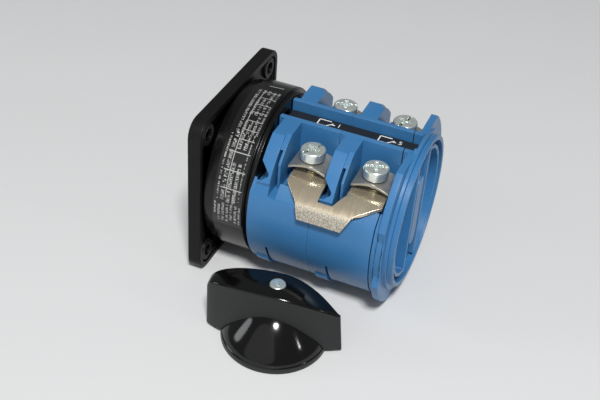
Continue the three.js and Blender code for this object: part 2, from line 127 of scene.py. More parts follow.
# %% [markdown]
# ## Writing a finish
# A finish is one shader with a few sockets driven by patterns. `Wire` wraps a socket so that patterns
# are written as sums, and `Finish.add` makes any node from its type, its settings and its inputs.

# %% Wire and Finish
class Wire:
    """A socket that works in arithmetic: each operator adds one Math node."""

    def __init__(self, finish, socket):
        self.finish, self.socket = finish, socket

    def math(self, operation, *values):
        return self.finish.add("ShaderNodeMath", {"operation": operation}, dict(enumerate(values)))

    def __add__(self, other): return self.math("ADD", self, other)
    def __sub__(self, other): return self.math("SUBTRACT", self, other)
    def __rsub__(self, other): return self.math("SUBTRACT", other, self)
    def __mul__(self, other): return self.math("MULTIPLY", self, other)
    def __gt__(self, other): return self.math("GREATER_THAN", self, other)
    def __lt__(self, other): return self.math("LESS_THAN", self, other)
    def floor(self): return self.math("FLOOR", self)
    def fract(self): return self.math("FRACT", self)
    __radd__, __rmul__ = __add__, __mul__


class Finish:
    """A material around one Principled shader; numbers given by socket name stay the same all over."""

    def __init__(self, name, color, roughness, **sockets):
        self.material = bpy.data.materials.new(name)
        self.material.use_nodes = True
        self.tree = self.material.node_tree
        self.shader = self.tree.nodes["Principled BSDF"]
        self.material.diffuse_color = (*color, 1)
        self.set("Base Color", (*color, 1))
        self.set("Roughness", roughness)
        for socket, value in sockets.items():
            self.set(socket.replace("_", " "), value)

    def set(self, socket, value, node=None):
        target = (node or self.shader).inputs[socket]
        if isinstance(value, Wire):
            self.tree.links.new(value.socket, target)
        else:
            target.default_value = value

    def add(self, kind, settings=None, inputs=None, out=0):
        """One node: settings first (a ramp's stops are pairs of place and grey), then its inputs."""
        node = self.tree.nodes.new(kind)
        for key, value in (settings or {}).items():
            if key == "stops":
                while len(node.color_ramp.elements) < len(value):
                    node.color_ramp.elements.new(0.5)
                for stop, (place, grey) in zip(node.color_ramp.elements, value):
                    stop.position, stop.color = place, (grey, grey, grey, 1)
            else:
                setattr(node, key, value)
        for key, value in (inputs or {}).items():
            self.set(key, value, node)
        return Wire(self, node.outputs[out])

    def coords(self, stretch=(1, 1, 1)):
        place = self.add("ShaderNodeTexCoord", out="Object")
        return self.add("ShaderNodeMapping", None, {"Vector": place, "Scale": stretch})

    def noise(self, scale, detail=3, stretch=(1, 1, 1)):
        """Soft cloud pattern from 0 to 1; scale is in clouds per metre."""
        return self.add("ShaderNodeTexNoise", None,
                        {"Vector": self.coords(stretch=stretch), "Scale": scale, "Detail": detail})

    def ramp(self, wire, *stops):
        return self.add("ShaderNodeValToRGB", {"stops": stops}, {"Fac": wire})

    def blend(self, mask, first, second):
        """Colour that goes from first to second as mask goes from 0 to 1."""
        as_color = lambda c: c if isinstance(c, Wire) else (*c, 1)
        return self.add("ShaderNodeMix", {"data_type": "RGBA"},
                        {0: mask, 6: as_color(first), 7: as_color(second)}, 2)

    def emboss(self, height, depth):
        """Bump of that depth in metres into the shader's normal."""
        self.set("Normal", self.add("ShaderNodeBump", None,
                                    {"Height": height, "Distance": depth, "Strength": 1.0}))


# %% [markdown]
# ## Table card
# Pale card is not one grey: it has a slow cloudiness that keeps the floor from looking like paper cut
# out of a screen.

# %% Table
card = Finish("table_card", (0.74, 0.74, 0.74), 0.75)
card.set("Base Color", card.blend(card.noise(1.6, 2), (0.60, 0.605, 0.61), (0.635, 0.635, 0.63)))
table_mesh = bpy.data.meshes.new("table")
REACH = 6.0
table_mesh.from_pydata([(x * REACH, y * REACH, 0) for x, y in ((-1, -1), (1, -1), (1, 1), (-1, 1))],
                       [], [(0, 1, 2, 3)])
table = bpy.data.objects.new("table", table_mesh)
table_mesh.materials.append(card.material)
bpy.context.scene.collection.objects.link(table)

# %% [markdown]
# ## Moulded plastics
# Moulded nylon has a fine orange-peel skin, slow changes in gloss where the mould was hot or cold, and
# edges painted pale: partly scuffing, partly a painted highlight along the lit edges. The pale edges follow
# the mesh's own pointiness, which needs rounded edges.

# %% Plastics
# Grey and share for the painted edge highlight and scuffing on convex edges.
EDGE_SHEEN_AND_SCUFF_GREY, EDGE_SHEEN_AND_SCUFF_SHARE = 0.5, 0.45


def plastic(name, deep, bright, gloss, peel, edge_sheen_and_scuff, shine=0.35):
    """Colour drifts between deep and bright, roughness around gloss; peel is the bump in metres."""
    skin = Finish(name, deep, gloss, Specular_IOR_Level=shine)
    drift = skin.ramp(skin.noise(45, 4), (0.3, 0.0), (0.7, 1.0))
    # Painted highlight and scuffing: convex edges, picked out by pointiness, are blended towards a pale
    # grey.
    edge_sheen_and_wear = skin.ramp(skin.add("ShaderNodeNewGeometry", out="Pointiness"), (0.53, 0.0), (0.62, 1.0))
    pale = tuple((1 - EDGE_SHEEN_AND_SCUFF_SHARE) * c + EDGE_SHEEN_AND_SCUFF_SHARE * EDGE_SHEEN_AND_SCUFF_GREY for c in bright)
    colour = skin.blend(drift, deep, bright)
    skin.set("Base Color", skin.blend(edge_sheen_and_wear * skin.noise(900, 2) * edge_sheen_and_scuff, colour, pale))
    skin.set("Roughness", gloss + 0.10 * (skin.noise(160, 5) - 0.5) + 0.06 * edge_sheen_and_wear)
    skin.emboss(skin.noise(2600, 2) * 0.6 + skin.noise(420, 2), peel)
    return skin


blue_plastic = plastic("blue_plastic", (0.030, 0.142, 0.318), (0.040, 0.164, 0.362), 0.33, 0.00002, 0.30)
plate_black = plastic("plate_black", (0.0022, 0.0022, 0.0019), (0.0042, 0.0042, 0.0037), 0.40, 0.00003,
                      0.10, 0.16)
housing_black = plastic("housing_black", (0.003, 0.003, 0.003), (0.005, 0.005, 0.005), 0.24, 0.00001, 0.08)
strip_black = plastic("strip_black", (0.010, 0.011, 0.013), (0.014, 0.015, 0.018), 0.35, 0.00001, 0.05)
ivory_plastic = plastic("ivory_plastic", (0.68, 0.64, 0.53), (0.75, 0.72, 0.62), 0.5, 0.00002, 0.1)

# %% [markdown]
# ## Metals
# Zinc plate is bright with faint yellow and blue patches, nickel on the link and washers is warmer,
# and pressed sheet keeps fine lines from rolling. Each is a bare metal shader with a cloudy colour and
# a stretched roughness pattern. The link is duller and grainier below LIP_FROM, in metres above the
# shaft's line, and bright from LIP_TO up.

# %% Metals
def metal(name, first, second, gloss, patch, brushed=(1, 1, 1), dent=0.000006):
    """Colour in patches per metre between first and second; brushed stretches the roughness lines."""
    plate = Finish(name, first, gloss, Metallic=0.8)
    cloud = plate.ramp(plate.noise(patch, 4), (0.35, 0.0), (0.65, 1.0))
    plate.set("Base Color", plate.blend(cloud, first, second))
    lines = plate.noise(3000, 3, brushed)
    plate.set("Roughness", gloss + 0.18 * (lines - 0.5) + 0.12 * (plate.noise(220, 3) - 0.5))
    plate.emboss(lines * 0.3 + plate.noise(300, 3), dent)
    return plate


zinc = metal("zinc_plate", (0.88, 0.90, 0.84), (0.70, 0.79, 0.79), 0.26, 420, dent=0.00003)
washer_nickel = metal("washer_nickel", (0.40, 0.385, 0.34), (0.53, 0.50, 0.44), 0.36, 240, (1, 0.2, 1))
brass = metal("contact_brass", (0.70, 0.50, 0.22), (0.78, 0.60, 0.32), 0.33, 200, (0.2, 1, 1))
spring_steel = metal("spring_steel", (0.42, 0.43, 0.45), (0.52, 0.53, 0.55), 0.3, 200, (1, 1, 0.2))

LIP_FROM, LIP_TO = 0.0125, 0.0140
link_nickel = Finish("link_nickel", (0.58, 0.51, 0.40), 0.3, Metallic=0.8)
height = link_nickel.add("ShaderNodeSeparateXYZ", None, {0: link_nickel.coords()}, 2)
lip = 1.0 - link_nickel.add("ShaderNodeMapRange", None,
                            {0: height, 1: AXIS[2] + LIP_FROM, 2: AXIS[2] + LIP_TO})
grit = link_nickel.noise(2000, 4)
warm = link_nickel.blend(link_nickel.noise(180, 3), (0.62, 0.52, 0.37), (0.76, 0.66, 0.49))
grained = link_nickel.blend(link_nickel.ramp(grit, (0.4, 0.0), (0.6, 1.0)),
                            (0.36, 0.325, 0.26), (0.66, 0.61, 0.52))
link_nickel.set("Base Color", link_nickel.blend(lip, warm, grained))
link_nickel.set("Roughness", 0.26 + 0.2 * lip + 0.16 * (link_nickel.noise(900, 3, (1, 0.15, 0.15)) - 0.5))
link_nickel.emboss(grit * lip + link_nickel.noise(260, 2), 0.00003)
print("finishes:", len(bpy.data.materials))

# %% [markdown]
# ## Pieces whose shape is already right
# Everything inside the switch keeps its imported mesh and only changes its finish.

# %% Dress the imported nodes
BY_SLOT = {"blue_plastic": blue_plastic, "black_plastic": plate_black, "strip_black": strip_black,
           "spring_steel": spring_steel, "brass_parts": brass, "nickel_plate": washer_nickel,
           "zinc_plate": zinc, "ivory_plastic": ivory_plastic}
slot_of = {part["node"]: part["material_slot"] for part in frame["record"]["subparts"]}
body_of = {node: body for body, nodes in frame["record"]["behaviour"]["bodies"].items() for node in nodes}
for node, shown in frame["nodes"].items():
    finish = BY_SLOT.get(slot_of[node], plate_black)
    for material_slot in shown.material_slots:
        material_slot.material = finish.material
print("dressed", len(frame["nodes"]), "packed nodes")


# %% [markdown]
# ## Making a piece
# A piece goes on its body, stands for its imported node, takes the finish it is given and is shaded smooth
# with creases left where faces meet at a sharp angle.

# %% Piece, closed skin and softened copy
def piece(name, mesh, finish, node, body=None, crease=35, hides=True):
    """Links a mesh as a piece of the object: creases above that angle in degrees stay sharp."""
    made = bpy.data.objects.new(name, mesh)
    bpy.context.scene.collection.objects.link(made)
    mesh.materials.clear()
    mesh.materials.append(finish.material)
    mesh.shade_smooth()
    mesh.set_sharp_from_angle(angle=math.radians(crease))
    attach(made, body or body_of[node])
    if hides:
        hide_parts(node)
    return made


def tidy(mesh, outward=True):
    """Merges doubled points, which closes seams and poles, and turns every face outwards."""
    shape = bmesh.new()
    shape.from_mesh(mesh)
    bmesh.ops.remove_doubles(shape, verts=shape.verts, dist=2e-6)
    if outward:
        bmesh.ops.recalc_face_normals(shape, faces=shape.faces)
    shape.to_mesh(mesh)
    shape.free()
    return mesh


def closed_skin(name, loops, uv=None, caps=True):
    """Mesh through rows of closed loops, loops[i, j] = point j of loop i; each end loop is shrunk to
    its middle point, so that the skin closes. uv holds a pair for each point of the grid."""
    loops = np.asarray(loops, float)
    if caps:
        ends = [np.repeat(row.mean(0, keepdims=True), loops.shape[1], 0)[None]
                for row in (loops[0], loops[-1])]
        loops = np.concatenate([ends[0], loops, ends[1]])
        uv = None if uv is None else np.concatenate([uv[:1], uv, uv[-1:]])
    rows, cols = loops.shape[:2]
    index = np.arange(rows * cols).reshape(rows, cols)
    around = np.hstack([index, index[:, :1]])
    quads = np.stack([around[:-1, :-1], around[1:, :-1], around[1:, 1:], around[:-1, 1:]], -1)
    quads = quads.reshape(-1, 4)
    mesh = bpy.data.meshes.new(name)
    mesh.from_pydata(loops.reshape(-1, 3), [], quads)
    if uv is not None:
        layer = mesh.uv_layers.new(name="print")
        layer.data.foreach_set("uv", uv.reshape(-1, 2)[quads.ravel()].astype(np.float32).ravel())
    return tidy(mesh)


ROUNDED_ABOVE, FLAT_WITHIN = 30, 0.4


def soften(made, radius_mm):
    """Rounds edges where faces meet at more than ROUNDED_ABOVE degrees, and keeps flat faces flat with
    weighted normals."""
    bevel = made.modifiers.new("round", "BEVEL")
    bevel.width, bevel.segments, bevel.limit_method = radius_mm / 1000, 2, "ANGLE"
    bevel.angle_limit, bevel.use_clamp_overlap = math.radians(ROUNDED_ABOVE), False
    bevel.miter_outer = "MITER_ARC"
    weigh = made.modifiers.new("weigh", "WEIGHTED_NORMAL")
    weigh.keep_sharp, weigh.weight = False, 80
    return made


def softened_copy(node, finish, radius_mm, reach_mm=0.0):
    """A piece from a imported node's own shape: merged, flat areas joined, edges rounded. Its end in +x
    is moved on by reach_mm, to close the gap left for play where two mouldings really touch."""
    mesh = frame["nodes"][node].data.copy()
    shape = bmesh.new()
    shape.from_mesh(mesh)
    end = max(v.co.x for v in shape.verts)
    bmesh.ops.translate(shape, vec=(reach_mm / 1000, 0, 0),
                        verts=[v for v in shape.verts if v.co.x > end - 1e-5])
    bmesh.ops.remove_doubles(shape, verts=shape.verts, dist=5e-6)
    bmesh.ops.dissolve_limit(shape, angle_limit=math.radians(FLAT_WITHIN), verts=shape.verts,
                             edges=shape.edges)
    shape.to_mesh(mesh)
    shape.free()
    return soften(piece(node + "_moulded", mesh, finish, node), radius_mm)


# %% [markdown]
# ## Mouldings
# The plate, the housing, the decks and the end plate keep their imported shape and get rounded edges.
# Each row has the node, its finish, the edges' radius and how far its end is moved on, in millimetres.

# %% Plate, housing, decks and end plate
MOULDINGS = [("front_plate", plate_black, 0.35, 0),
             ("latch_housing", housing_black, 0.25, 0),
             ("deck_housing_1", blue_plastic, 0.14, 0.26),
             ("deck_housing_2", blue_plastic, 0.14, 0),
             ("end_plate", blue_plastic, 0.25, 0)]
for node, finish, radius, reach in MOULDINGS:
    made = softened_copy(node, finish, radius, reach_mm=reach)
    print(made.name, "faces before rounding:", len(made.data.polygons))

# %% [markdown]
# ## Clamp washers
# Each terminal's washer is a small plate bowed over the wire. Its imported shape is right, so it only
# needs rounded edges and warm nickel.

# %% Clamp washers
terminals = [f"{deck}_{side}_{level}"
             for deck in (1, 2) for side in ("near", "far") for level in ("top", "bottom")]
for tag in terminals:
    softened_copy("clamp_" + tag, washer_nickel, 0.12)

# %% [markdown]
# ## Turned parts
# A screw head is a profile spun about its own axis. The driver's slot and cross are cut by a solid made
# of two tapered bars. Cutting with a Boolean keeps the corners of the slot crisp.

# %% Lathe, bars and cutting
def lathe(name, profile, steps=64):
    """Profile of (radius, height) pairs spun about z: point = (r cos a, r sin a, h); it starts and
    ends on the axis, so the skin closes at both poles."""
    radius, rise = np.asarray(profile, float).T
    angle = np.arange(steps) * 2 * np.pi / steps
    loops = np.stack([radius[:, None] * np.cos(angle), radius[:, None] * np.sin(angle),
                      np.broadcast_to(rise[:, None], (len(rise), steps))], -1)
    return closed_skin(name, loops, caps=False)


def bar(name, sizes_low, sizes_high, low, high):
    """Tapered bar: rectangle of half sizes_low at height low, half sizes_high at height high."""
    corner = np.array([[1, 1], [-1, 1], [-1, -1], [1, -1]], float)
    loops = np.stack([np.column_stack([corner * sizes, np.full(4, h)])
                      for sizes, h in ((sizes_low, low), (sizes_high, high))])
    return closed_skin(name, loops)


def carve(base, tools, operation="DIFFERENCE"):
    """Base mesh after each tool mesh has been cut from it, joined to it or crossed with it."""
    worker = bpy.data.objects.new("worker", base)
    bpy.context.scene.collection.objects.link(worker)
    helpers = []
    for tool in tools:
        helper = bpy.data.objects.new("tool", tool)
        bpy.context.scene.collection.objects.link(helper)
        step = worker.modifiers.new("carve", "BOOLEAN")
        step.operation, step.object, step.solver = operation, helper, "EXACT"
        helpers.append(helper)
    bpy.context.view_layer.update()
    carved = bpy.data.meshes.new_from_object(worker.evaluated_get(bpy.context.evaluated_depsgraph_get()))
    for leftover in [worker, *helpers]:
        bpy.data.objects.remove(leftover)
    return tidy(carved, outward=False)


def settle(mesh, turn_degrees, at_mm, flip=False):
    """Moves a mesh drawn in millimetres about its own axis to its place on the switch."""
    flipped = Matrix.Rotation(math.pi, 4, "X") if flip else Matrix.Identity(4)
    mesh.transform(Matrix.Translation(on_switch(at_mm)) @ flipped
                   @ Matrix.Rotation(math.radians(turn_degrees), 4, "Z") @ Matrix.Scale(0.001, 4))
    return mesh


# %% Terminal screws
SCREW = {"head": 4.4, "high": 3.7, "edge": 0.75, "crown": 3.2, "bulge": 0.12, "shank": 2, "length": 6.6,
         "slot_deep": 1.3, "cross_deep": 2.2}


def screw_mesh():
    """Head with a rounded top edge and a slightly domed crown, on a plain shank with a chamfered end. A
    slot and a deeper cross are sunk in the head."""
    head, top, edge = SCREW["head"], SCREW["high"], SCREW["edge"]
    shank, end = SCREW["shank"], -SCREW["length"]
    turn_in = np.linspace(0, np.pi / 2, 6)
    rounded = np.column_stack([head - edge + edge * np.cos(turn_in), top - edge + edge * np.sin(turn_in)])
    r = np.linspace(SCREW["crown"], 0, 5)
    crown = np.column_stack([r, top + SCREW["bulge"] * (1 - r ** 2 / SCREW["crown"] ** 2)])
    foot = [[0, end], [shank - 0.6, end], [shank, end + 0.8], [shank, 0], [head - 0.25, 0], [head, 0.25]]
    profile = np.vstack([foot, rounded, crown])
    slot = bar("slot", (5.2, 0.42), (5.2, 0.55), top - SCREW["slot_deep"], top + 1)
    cross_from, cross_to = top - SCREW["cross_deep"], top + 0.6
    cross_a = bar("cross_a", (1.5, 0.35), (2.9, 0.75), cross_from, cross_to)
    cross_b = bar("cross_b", (0.35, 1.5), (0.75, 2.9), cross_from, cross_to)
    return carve(lathe("screw", profile), [slot, cross_a, cross_b])


screw_pattern = screw_mesh()
TURNS = {"1_near_top": 62, "2_near_top": 20, "1_far_top": 15, "2_far_top": 75}
for tag in terminals:
    low, high = (np.array(corner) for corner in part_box("screw_" + tag))
    middle = ((low + high) / 2 - AXIS) * 1000
    upward = middle[2] > 0
    middle[2] = ((high - AXIS)[2] * 1000 - SCREW["high"] if upward
                 else (low - AXIS)[2] * 1000 + SCREW["high"])
    mesh = settle(screw_pattern.copy(), TURNS.get(tag, 40), middle, flip=not upward)
    soften(piece(f"screw_{tag}_turned", mesh, zinc, "screw_" + tag), 0.07)
print("terminal screw triangles:", sum(len(p.vertices) - 2 for p in screw_pattern.polygons))

# %% [markdown]
# ## The jumper link
# The link is one stamped strip that joins two terminals. It lies flat under both washers, bends down
# over the deck's shoulder in a broad slope and ends in a short lip. It is made as a bent sheet along a
# smooth path, then crossed with its outline seen from above, which is how a press makes it too.

# %% Bent sheet
def rounded_path(corners, radius, steps=5):
    """Path through corners with each inner corner replaced by a curve: the quadratic between points
    `radius` before and after it, p = (1-t)^2 a + 2 t (1-t) corner + t^2 b."""
    corners = np.asarray(corners, float)
    t = np.linspace(0, 1, steps)[:, None]
    pieces = [corners[:1]]
    for before, here, after in zip(corners[:-2], corners[1:-1], corners[2:]):
        a = here + (before - here) * min(0.45, radius / np.linalg.norm(before - here))
        b = here + (after - here) * min(0.45, radius / np.linalg.norm(after - here))
        pieces.append((1 - t) ** 2 * a + 2 * t * (1 - t) * here + t ** 2 * b)
    return np.vstack([*pieces, corners[-1:]])


def bent_sheet(name, path, thickness, x_from, x_to):
    """Solid strip: each (y, z) point of the path becomes a rectangle across x, as thick as the sheet
    on the side of the path's normal n = (-dz, dy) / length."""
    step = np.gradient(path, axis=0)
    normal = np.column_stack([-step[:, 1], step[:, 0]]) / np.linalg.norm(step, axis=1, keepdims=True)
    inner, outer = path, path + normal * thickness
    rows = [np.column_stack([np.full(len(path), x), side]) for x, side in
            ((x_from, inner), (x_to, inner), (x_to, outer), (x_from, outer))]
    return closed_skin(name, np.stack(rows, 1))


def outline_prism(name, outline, low, high):
    """Straight-sided solid over an outline in (x, y), from height low to high."""
    outline = np.asarray(outline, float)
    shape = bmesh.new()
    face = shape.faces.new([shape.verts.new((x, y, low)) for x, y in outline])
    raised = bmesh.ops.extrude_face_region(shape, geom=[face])
    bmesh.ops.translate(shape, vec=(0, 0, high - low),
                        verts=[v for v in raised["geom"] if isinstance(v, bmesh.types.BMVert)])
    mesh = bpy.data.meshes.new(name)
    shape.to_mesh(mesh)
    shape.free()
    return tidy(mesh)


def disc(name, x, y, radius, low, high):
    """Round solid that stands at (x, y), from height low to high."""
    mesh = lathe(name, [(0, low), (radius, low), (radius, high), (0, high)], 48)
    mesh.transform(Matrix.Translation((x, y, 0)))
    return mesh


# %% The link: fold seen along the shaft, plan from above, front from the near side
LINK_X, LINK_Y = (39.1, 61.7), -15.6
LINK = {"under": 15.95, "thick": 1.15, "hole": 2.4, "bend": 2.6}
fold = rounded_path([(-9.9, LINK["under"]), (-24.6, LINK["under"]), (-31.2, 12.95), (-33.2, 8.2)],
                    LINK["bend"])
first, second = LINK_X
plan = [(first - 5.4, -9.8), (first + 5.2, -9.8), (first + 7.9, -12), (first + 7.9, -29.7),
        (first + 13.1, -29.7), (second - 6.6, -24.5), (second - 6.6, -12), (second - 5.2, -9.8),
        (second + 5.8, -9.8),
        (second + 6.4, -25.5), (second - 1.6, -31.2), (second - 1.6, -40), (first + 0.4, -40),
        (first + 0.4, -31.2), (first - 5, -25.5)]
front = [(first + 3.2, 7), (second - 5.4, 7), (second - 1.8, 13.6), (75, 14), (75, 20), (28, 20), (28, 14),
         (first + 0.6, 13.6)]
taper = outline_prism("front", front, 0, 45)
taper.transform(Matrix.Rotation(math.pi / 2, 4, "X"))
stamped = carve(bent_sheet("fold", fold, -LINK["thick"], 30, 70),
                [outline_prism("plan", plan, 0, 25), taper], "INTERSECT")
stamped = carve(stamped, [disc("hole", x, LINK_Y, LINK["hole"], 10, 25) for x in LINK_X])
stamped.transform(Matrix.Translation(AXIS) @ Matrix.Scale(0.001, 4))
soften(piece("jumper_link_stamped", stamped, link_nickel, "jumper_link", crease=28), 0.14)
print("link triangles:", sum(len(p.vertices) - 2 for p in stamped.polygons))

# %% [markdown]
# ## The printed label
# The rating label is a glossy black film wrapped round the latch housing, printed white with a table
# of small figures. The figures are only suggested: lanes of short random strokes, broken into words,
# with ruled lines between the groups. The film's top end has begun to lift.

# %% Label film
LABEL = {"x": (9.6, 20.5), "angle": (84.0, 190.0), "radius": 31.62, "thick": 0.22,
         "loose_to": 92, "loose_over": 8, "lift": 0.8}


def label_mesh():
    """Film on a cylinder: y = r cos a, z = r sin a, with r = radius + lift t^2, where t goes from 0 at
    the angle loose_to up to 1 at the film's top end. The side by the plate lifts least. uv = (share of
    the width, share of the length)."""
    angle = np.linspace(*LABEL["angle"], 90)
    loose = np.clip((LABEL["loose_to"] - angle) / LABEL["loose_over"], 0, 1)
    across = np.linspace(*LABEL["x"], 6)
    x = np.concatenate([across, across[::-1]])
    lift = LABEL["lift"] * loose[:, None] ** 2 * np.linspace(0.3, 1, 6)[None]
    under = LABEL["radius"] + lift
    radius = np.concatenate([under, under[:, ::-1] + LABEL["thick"]], 1)
    a = np.radians(angle)[:, None]
    loops = np.stack([np.broadcast_to(x, radius.shape), radius * np.cos(a), radius * np.sin(a)], -1)
    share = (x - across[0]) / (across[-1] - across[0])
    along = (angle - angle[0]) / (angle[-1] - angle[0])
    uv = np.stack([np.broadcast_to(share, radius.shape), np.broadcast_to(along[:, None], radius.shape)], -1)
    return closed_skin("label", on_switch(loops), uv)


film = Finish("label_film", (0.008, 0.008, 0.008), 0.2, Coat_Weight=0.25, Coat_Roughness=0.08)
print_uv = film.add("ShaderNodeSeparateXYZ", None, {0: film.add("ShaderNodeTexCoord", out="UV")}, 0)
across, along = print_uv, Wire(film, print_uv.socket.node.outputs[1])


def between(wire, low, high):
    """1 where low < wire < high, else 0."""
    return (wire > low) * (wire < high)


def strokes(lanes, letters, words, share):
    """Rows of letter-like strokes: lane and letter numbers seed a random test for each letter, each
    word, and each tick inside a letter."""
    lane, letter = (across * lanes).floor(), (along * letters).floor()
    dice = lambda a, b: film.add("ShaderNodeTexWhiteNoise", {"noise_dimensions": "2D"},
                                 {0: film.add("ShaderNodeCombineXYZ", None, {0: a, 1: b})})
    inked = between((across * lanes).fract(), 0.22, 0.80) * between((along * letters).fract(), 0.10, 0.86)
    ticks = dice((across * lanes * 4).floor(), (along * letters * 3).floor()) > 0.42
    return inked * ticks * (dice(lane, letter) > 0.12) * (dice(lane, (along * words).floor()) < share)


table_rules = (between(across, 0.40, 0.425) * between(along, 0.05, 0.80)
               + between((along * 16).fract(), 0.0, 0.07) * between(across, 0.42, 0.93) * (along < 0.45)
               + between((along * 9 + 0.35).fract(), 0.0, 0.05) * between(across, 0.2, 0.93)
               * between(along, 0.5, 0.82))
figures = (strokes(6, 120, 22, 0.85) * between(across, 0.14, 0.94) * between(along, 0.05, 0.40)
           + strokes(5, 90, 12, 0.9) * between(across, 0.1, 0.88) * between(along, 0.40, 0.83)
           + strokes(7, 110, 14, 0.8) * between(across, 0.05, 0.95) * between(along, 0.84, 0.97))
ink = (table_rules + figures) > 0.5
film.set("Base Color", film.blend(ink * (0.45 + 0.15 * (along > 0.4)),
                                  (0.006, 0.006, 0.006), (0.62, 0.63, 0.60)))
film.set("Roughness", 0.17 + 0.3 * ink + 0.06 * film.noise(200, 3))
film.emboss(film.noise(90, 2), 0.00005)
piece("rating_label_film", label_mesh(), film, "rating_label", crease=50)

# %% [markdown]
# ## Marking strips and their symbols
# A thin black strip snaps into the channel along the top and along the bottom. Its contact symbols are
# white ink: narrow ribbons carried along short paths, and two numerals for each deck.

# %% Ribbons of ink
ink_white = Finish("ink_white", (0.72, 0.72, 0.70), 0.55)
ink_white.set("Base Color", ink_white.blend(ink_white.noise(1500, 2),
                                            (0.62, 0.62, 0.60), (0.80, 0.80, 0.78)))
ink_black = Finish("ink_black", (0.02, 0.02, 0.022), 0.5)
ink_black.set("Base Color", ink_black.blend(ink_black.noise(1500, 2),
                                            (0.015, 0.015, 0.017), (0.03, 0.03, 0.03)))


def ribbon(name, path, width, height, thick=0.05):
    """Flat ink line: each (x, y) point of the path gives a small rectangle, half the width to each
    side along the path's normal, from `height` up by `thick`."""
    path = np.asarray(path, float)
    step = np.gradient(path, axis=0)
    side = np.column_stack([-step[:, 1], step[:, 0]]) / np.linalg.norm(step, axis=1, keepdims=True)
    side *= width / 2
    rows = [np.column_stack([path + sign * side, np.full(len(path), z)])
            for sign, z in ((1, height), (1, height + thick), (-1, height + thick), (-1, height))]
    return closed_skin(name, np.stack(rows, 1))


def numeral(text, size):
    """A numeral as a mesh lying in the xy plane, centred, `size` high."""
    curve = bpy.data.curves.new("numeral", "FONT")
    curve.body, curve.size, curve.extrude = text, size, 0.02
    curve.align_x, curve.align_y = "CENTER", "CENTER"
    holder = bpy.data.objects.new("numeral", curve)
    bpy.context.scene.collection.objects.link(holder)
    bpy.context.view_layer.update()
    mesh = bpy.data.meshes.new_from_object(holder.evaluated_get(bpy.context.evaluated_depsgraph_get()))
    bpy.data.objects.remove(holder)
    return tidy(mesh)


def merge_meshes(name, meshes):
    """One mesh from several."""
    shape = bmesh.new()
    for mesh in meshes:
        shape.from_mesh(mesh)
    whole = bpy.data.meshes.new(name)
    shape.to_mesh(whole)
    shape.free()
    return whole


# %% Strips and marks
STRIP_TOP, FIRST_MARK, DECK_PITCH = 24.3, 34.0, 22.6
BRACKET_INK, LEVER_INK, DIGIT_SIZE = 0.45, 0.4, 3.0
for place, side in (("top", 1), ("bottom", -1)):
    node = f"marking_strip_{place}"
    softened_copy(node, strip_black, 0.12)
    marks = []
    for deck, digits in ((0, ("1", "2")), (1, ("5", "6"))):
        start = FIRST_MARK + deck * DECK_PITCH
        upper = [(start + 4.3, 3.6), (start, 3.6), (start, 0.2), (start + 3.2, 0.2)]
        lower = [(start + 4.3, -3.9), (start, -3.9), (start, -1.2), (start + 3.2, -1.2)]
        lines = [(a, b, BRACKET_INK) for row in (upper, lower) for a, b in zip(row[:-1], row[1:])]
        lines += [((start + 3.2, 0.2), (start + 5.4, 2.6), LEVER_INK),
                  ((start + 4.9, 1.8), (start + 6.2, 1.8), LEVER_INK)]
        marks += [ribbon("line", [a, b], width, STRIP_TOP) for a, b, width in lines]
        for text, y in zip(digits, (2.2, -2.4)):
            digit = numeral(text, DIGIT_SIZE)
            digit.transform(Matrix.Translation((start + 7.6, y, STRIP_TOP)))
            marks.append(digit)
    mesh = merge_meshes(f"marks_{place}", marks)
    mesh.transform(Matrix.Translation(AXIS) @ Matrix.Rotation(0 if side > 0 else math.pi, 4, "X")
                   @ Matrix.Scale(0.001, 4))
    piece(f"marks_{place}", mesh, ink_white, node, hides=False)

# %% [markdown]
# ## The dial
# The plate's front face carries a disc with the three positions of the handle: 1, 0 and 2. The disc is
# pale plastic film with a black numeral and a tick for each position.

# %% Dial
dial_finish = Finish("dial_film", (0.62, 0.63, 0.63), 0.35)
dial_finish.set("Base Color", dial_finish.blend(dial_finish.noise(120, 3),
                                                (0.58, 0.59, 0.59), (0.66, 0.67, 0.66)))
dial_finish.set("Roughness", 0.32 + 0.12 * dial_finish.noise(700, 3, (1, 1, 0.1)))
softened_copy("dial_plate", dial_finish, 0.08)
POSITIONS = (("1", 60), ("0", 0), ("2", -60))
FIGURE_AT, FIGURE_SIZE, TICK, TICK_WIDTH = 18.5, 6, (12.2, 14.4), 0.7
legend = []
for text, degrees in POSITIONS:
    direction = np.array([math.sin(math.radians(-degrees)), math.cos(math.radians(-degrees))])
    figure = numeral(text, FIGURE_SIZE)
    figure.transform(Matrix.Translation((*(direction * FIGURE_AT), 0)))
    legend.append(figure)
    legend.append(ribbon("tick", [direction * r for r in TICK], TICK_WIDTH, -0.02, 0.04))
dial_marks = merge_meshes("dial_marks", legend)
face_on = Matrix(((0, 0, -1), (-1, 0, 0), (0, 1, 0))).to_4x4()
dial_marks.transform(Matrix.Translation(on_switch((0.2, 0, 0))) @ face_on @ Matrix.Scale(0.001, 4))
piece("dial_marks", dial_marks, ink_black, "dial_plate", hides=False)

# %% [markdown]
# ## The handle
# The handle is a round skirt under a low dome, with a leaf-shaped bar across it that is tallest in the
# middle. The bar is a skin through rounded sections along its length, the dome is a spun profile, and
# the two are joined. The hollow under the skirt, the square socket and the screw's hole are cut last.

# %% Handle shape
BAR = {"half": 23.6, "width": 6.6, "low": 1.2, "shoulder": 16.5, "crown": 23.8, "edge": 0.9,
       "off": (-0.3, -0.6)}
BLUNT, POINTED = {"tip": 1.7, "plan": 1.28, "crest": 0.5}, {"tip": 0.4, "plan": 2.2, "crest": 2.4}
SKIRT = {"radius": 18.6, "band": 2.6}
DOME = [(18.1, 3), (16.4, 5.6), (14, 8.3), (11.5, 10.9), (9.2, 13), (7, 14.5), (4, 15.6), (0, 16)]
HOLLOW = [(0, -1), (16.4, -1), (16.4, 1.8), (14.6, 2.6), (0, 2.6)]
SOCKET_HALF, SOCKET_DEEP, BORE, SINK = 3.3, 14, 1.9, 3.2


